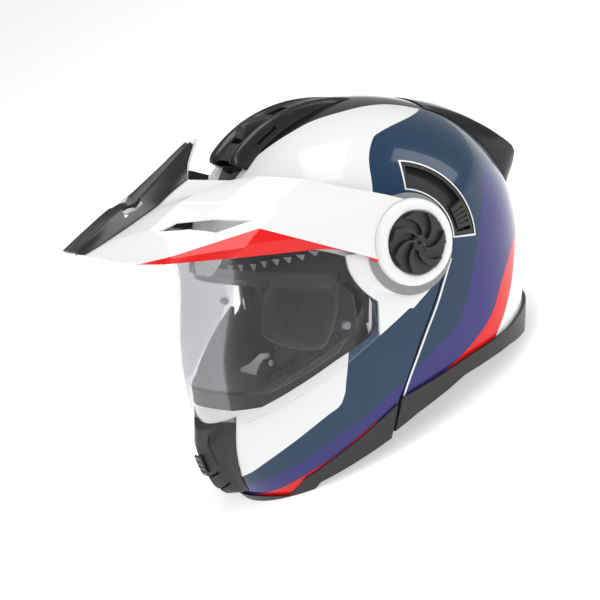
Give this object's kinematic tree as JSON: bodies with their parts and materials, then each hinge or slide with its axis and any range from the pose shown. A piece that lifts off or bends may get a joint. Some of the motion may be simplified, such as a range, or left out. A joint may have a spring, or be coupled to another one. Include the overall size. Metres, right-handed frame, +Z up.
{
  "type": "modular motorcycle helmet",
  "caption": "Flip-up touring helmet with a lifting chin bar, clear visor, adjustable peak, drop-down sun visor, sliding vents and a buckled chin strap.",
  "frame": {"origin": "on the table plane, under the middle of the bounding box", "axes": "+Z up from the table, -Y towards the peak, +X towards the rider's left; the side pivots lie on a line along X"},
  "size_m": [0.2812, 0.3661, 0.2737],
  "materials": {
    "navy_paint": "glossy clear-coated paint over moulded shell",
    "white_paint": "glossy warm white paint",
    "black_plastic": "fine-grained matte black moulding",
    "gloss_black": "gloss black moulding",
    "grey_plastic": "satin grey moulding",
    "foam": "expanded bead foam, matte charcoal",
    "lining": "brushed charcoal lining",
    "webbing": "woven black webbing",
    "seal_rubber": "soft black rubber",
    "clear_lens": "clear polycarbonate",
    "smoke_lens": "smoke-tinted polycarbonate",
    "steel": "zinc-plated steel",
    "dark_steel": "blackened steel",
    "red_plastic": "red moulding"
  },
  "bodies": {
    "shell": {"outer_shell": "navy_paint", "shell_edge_trim": "black_plastic", "crown_foam": "foam", "side_foam_left": "foam", "side_foam_right": "foam", "crown_lining": "lining", "cheek_pad_left": "lining", "cheek_pad_right": "lining", "neck_roll": "lining", "brow_seal": "seal_rubber", "top_vent_housing": "black_plastic", "rear_spoiler": "gloss_black", "rear_vent_grille": "black_plastic", "pivot_base_left": "grey_plastic", "pivot_base_right": "grey_plastic", "sun_slider_track": "black_plastic", "sun_visor_pins": "steel", "latch_strikers": "steel", "strap_left": "webbing", "strap_right": "webbing", "strap_anchors": "steel", "buckle_body": "steel", "buckle_lever_pin": "steel", "strap_ladder": "black_plastic"},
    "chin_bar": {"chin_bar_shell": "navy_paint", "chin_bar_trim": "black_plastic", "chin_foam": "foam", "chin_vent_housing": "black_plastic", "breath_guard": "seal_rubber", "chin_curtain": "lining", "visor_seal": "seal_rubber", "chin_hinge_left": "grey_plastic", "chin_hinge_right": "grey_plastic", "hook_pins": "steel"},
    "visor": {"visor_lens": "clear_lens", "visor_arm_left": "white_paint", "visor_arm_right": "white_paint", "visor_hub_left": "white_paint", "visor_hub_right": "white_paint", "insert_pins": "grey_plastic", "fog_insert": "clear_lens"},
    "peak": {"peak_shell": "white_paint", "peak_centre_panel": "gloss_black", "peak_pod_left": "white_paint", "peak_pod_right": "white_paint"},
    "left_knob": {"knob_left": "black_plastic", "knob_bolt_left": "dark_steel"},
    "right_knob": {"knob_right": "black_plastic", "knob_bolt_right": "dark_steel"},
    "sun_visor": {"sun_visor": "smoke_lens"},
    "sun_slider": {"sun_slider": "black_plastic"},
    "top_vent_slider": {"top_vent_slider": "black_plastic"},
    "chin_vent_shutter": {"chin_vent_shutter": "black_plastic"},
    "release_button": {"release_button": "red_plastic"},
    "left_hook": {"latch_hook_left": "steel"},
    "right_hook": {"latch_hook_right": "steel"},
    "buckle_lever": {"buckle_lever": "red_plastic"}
  },
  "joints": [
    {"name": "chin_bar_lift", "type": "hinge", "parent": "shell", "child": "chin_bar", "pos_m": [0, 0.0163, 0.144], "axis": [-1, 0, 0], "range_deg": [0, 75]},
    {"name": "visor_lift", "type": "hinge", "parent": "chin_bar", "child": "visor", "pos_m": [0, 0.0163, 0.144], "axis": [-1, 0, 0], "range_deg": [0, 41]},
    {"name": "peak_tilt", "type": "hinge", "parent": "chin_bar", "child": "peak", "pos_m": [0, 0.0163, 0.144], "axis": [-1, 0, 0], "range_deg": [0, 12]},
    {"name": "left_knob_turn", "type": "hinge", "parent": "peak", "child": "left_knob", "pos_m": [0, 0.0163, 0.144], "axis": [1, 0, 0], "range_deg": [0, 90]},
    {"name": "right_knob_turn", "type": "hinge", "parent": "peak", "child": "right_knob", "pos_m": [0, 0.0163, 0.144], "axis": [-1, 0, 0], "range_deg": [0, 90]},
    {"name": "sun_visor_drop", "type": "hinge", "parent": "shell", "child": "sun_visor", "pos_m": [0, 0.0163, 0.144], "axis": [1, 0, 0], "range_deg": [0, 37]},
    {"name": "sun_slider_slide", "type": "hinge", "parent": "shell", "child": "sun_slider", "pos_m": [0.12, 0.0163, 0.144], "axis": [0.985, 0.0508, 0.1648], "range_deg": [0, 37]},
    {"name": "top_vent_slide", "type": "slide", "parent": "shell", "child": "top_vent_slider", "axis": [0, 0.9919, 0.1271], "range_m": [0, 0.008]},
    {"name": "chin_vent_slide", "type": "slide", "parent": "chin_bar", "child": "chin_vent_shutter", "axis": [0, -0.1032, -0.9947], "range_m": [0, 0.005]},
    {"name": "release_press", "type": "slide", "parent": "chin_bar", "child": "release_button", "axis": [0, -0.8572, 0.515], "range_m": [0, 0.004], "stiffness_N_per_m": 400},
    {"name": "left_hook_turn", "type": "hinge", "parent": "chin_bar", "child": "left_hook", "pos_m": [0.0915, -0.07602, 0.05248], "axis": [1, 0, 0], "range_deg": [0, 12.1]},
    {"name": "right_hook_turn", "type": "hinge", "parent": "chin_bar", "child": "right_hook", "pos_m": [-0.0915, -0.07602, 0.05248], "axis": [1, 0, 0], "range_deg": [0, 12.1]},
    {"name": "buckle_open", "type": "hinge", "parent": "shell", "child": "buckle_lever", "pos_m": [0.035, -0.05061, 0.02099], "axis": [0, -0.8572, 0.515], "range_deg": [0, 35]}
  ],
  "couplings": [
    {"joint": "sun_slider_slide", "follows": "sun_visor_drop", "ratio": 1},
    {"joint": "left_hook_turn", "follows": "release_press", "rad_per_m": 52.36},
    {"joint": "right_hook_turn", "follows": "release_press", "rad_per_m": 52.36}
  ]
}
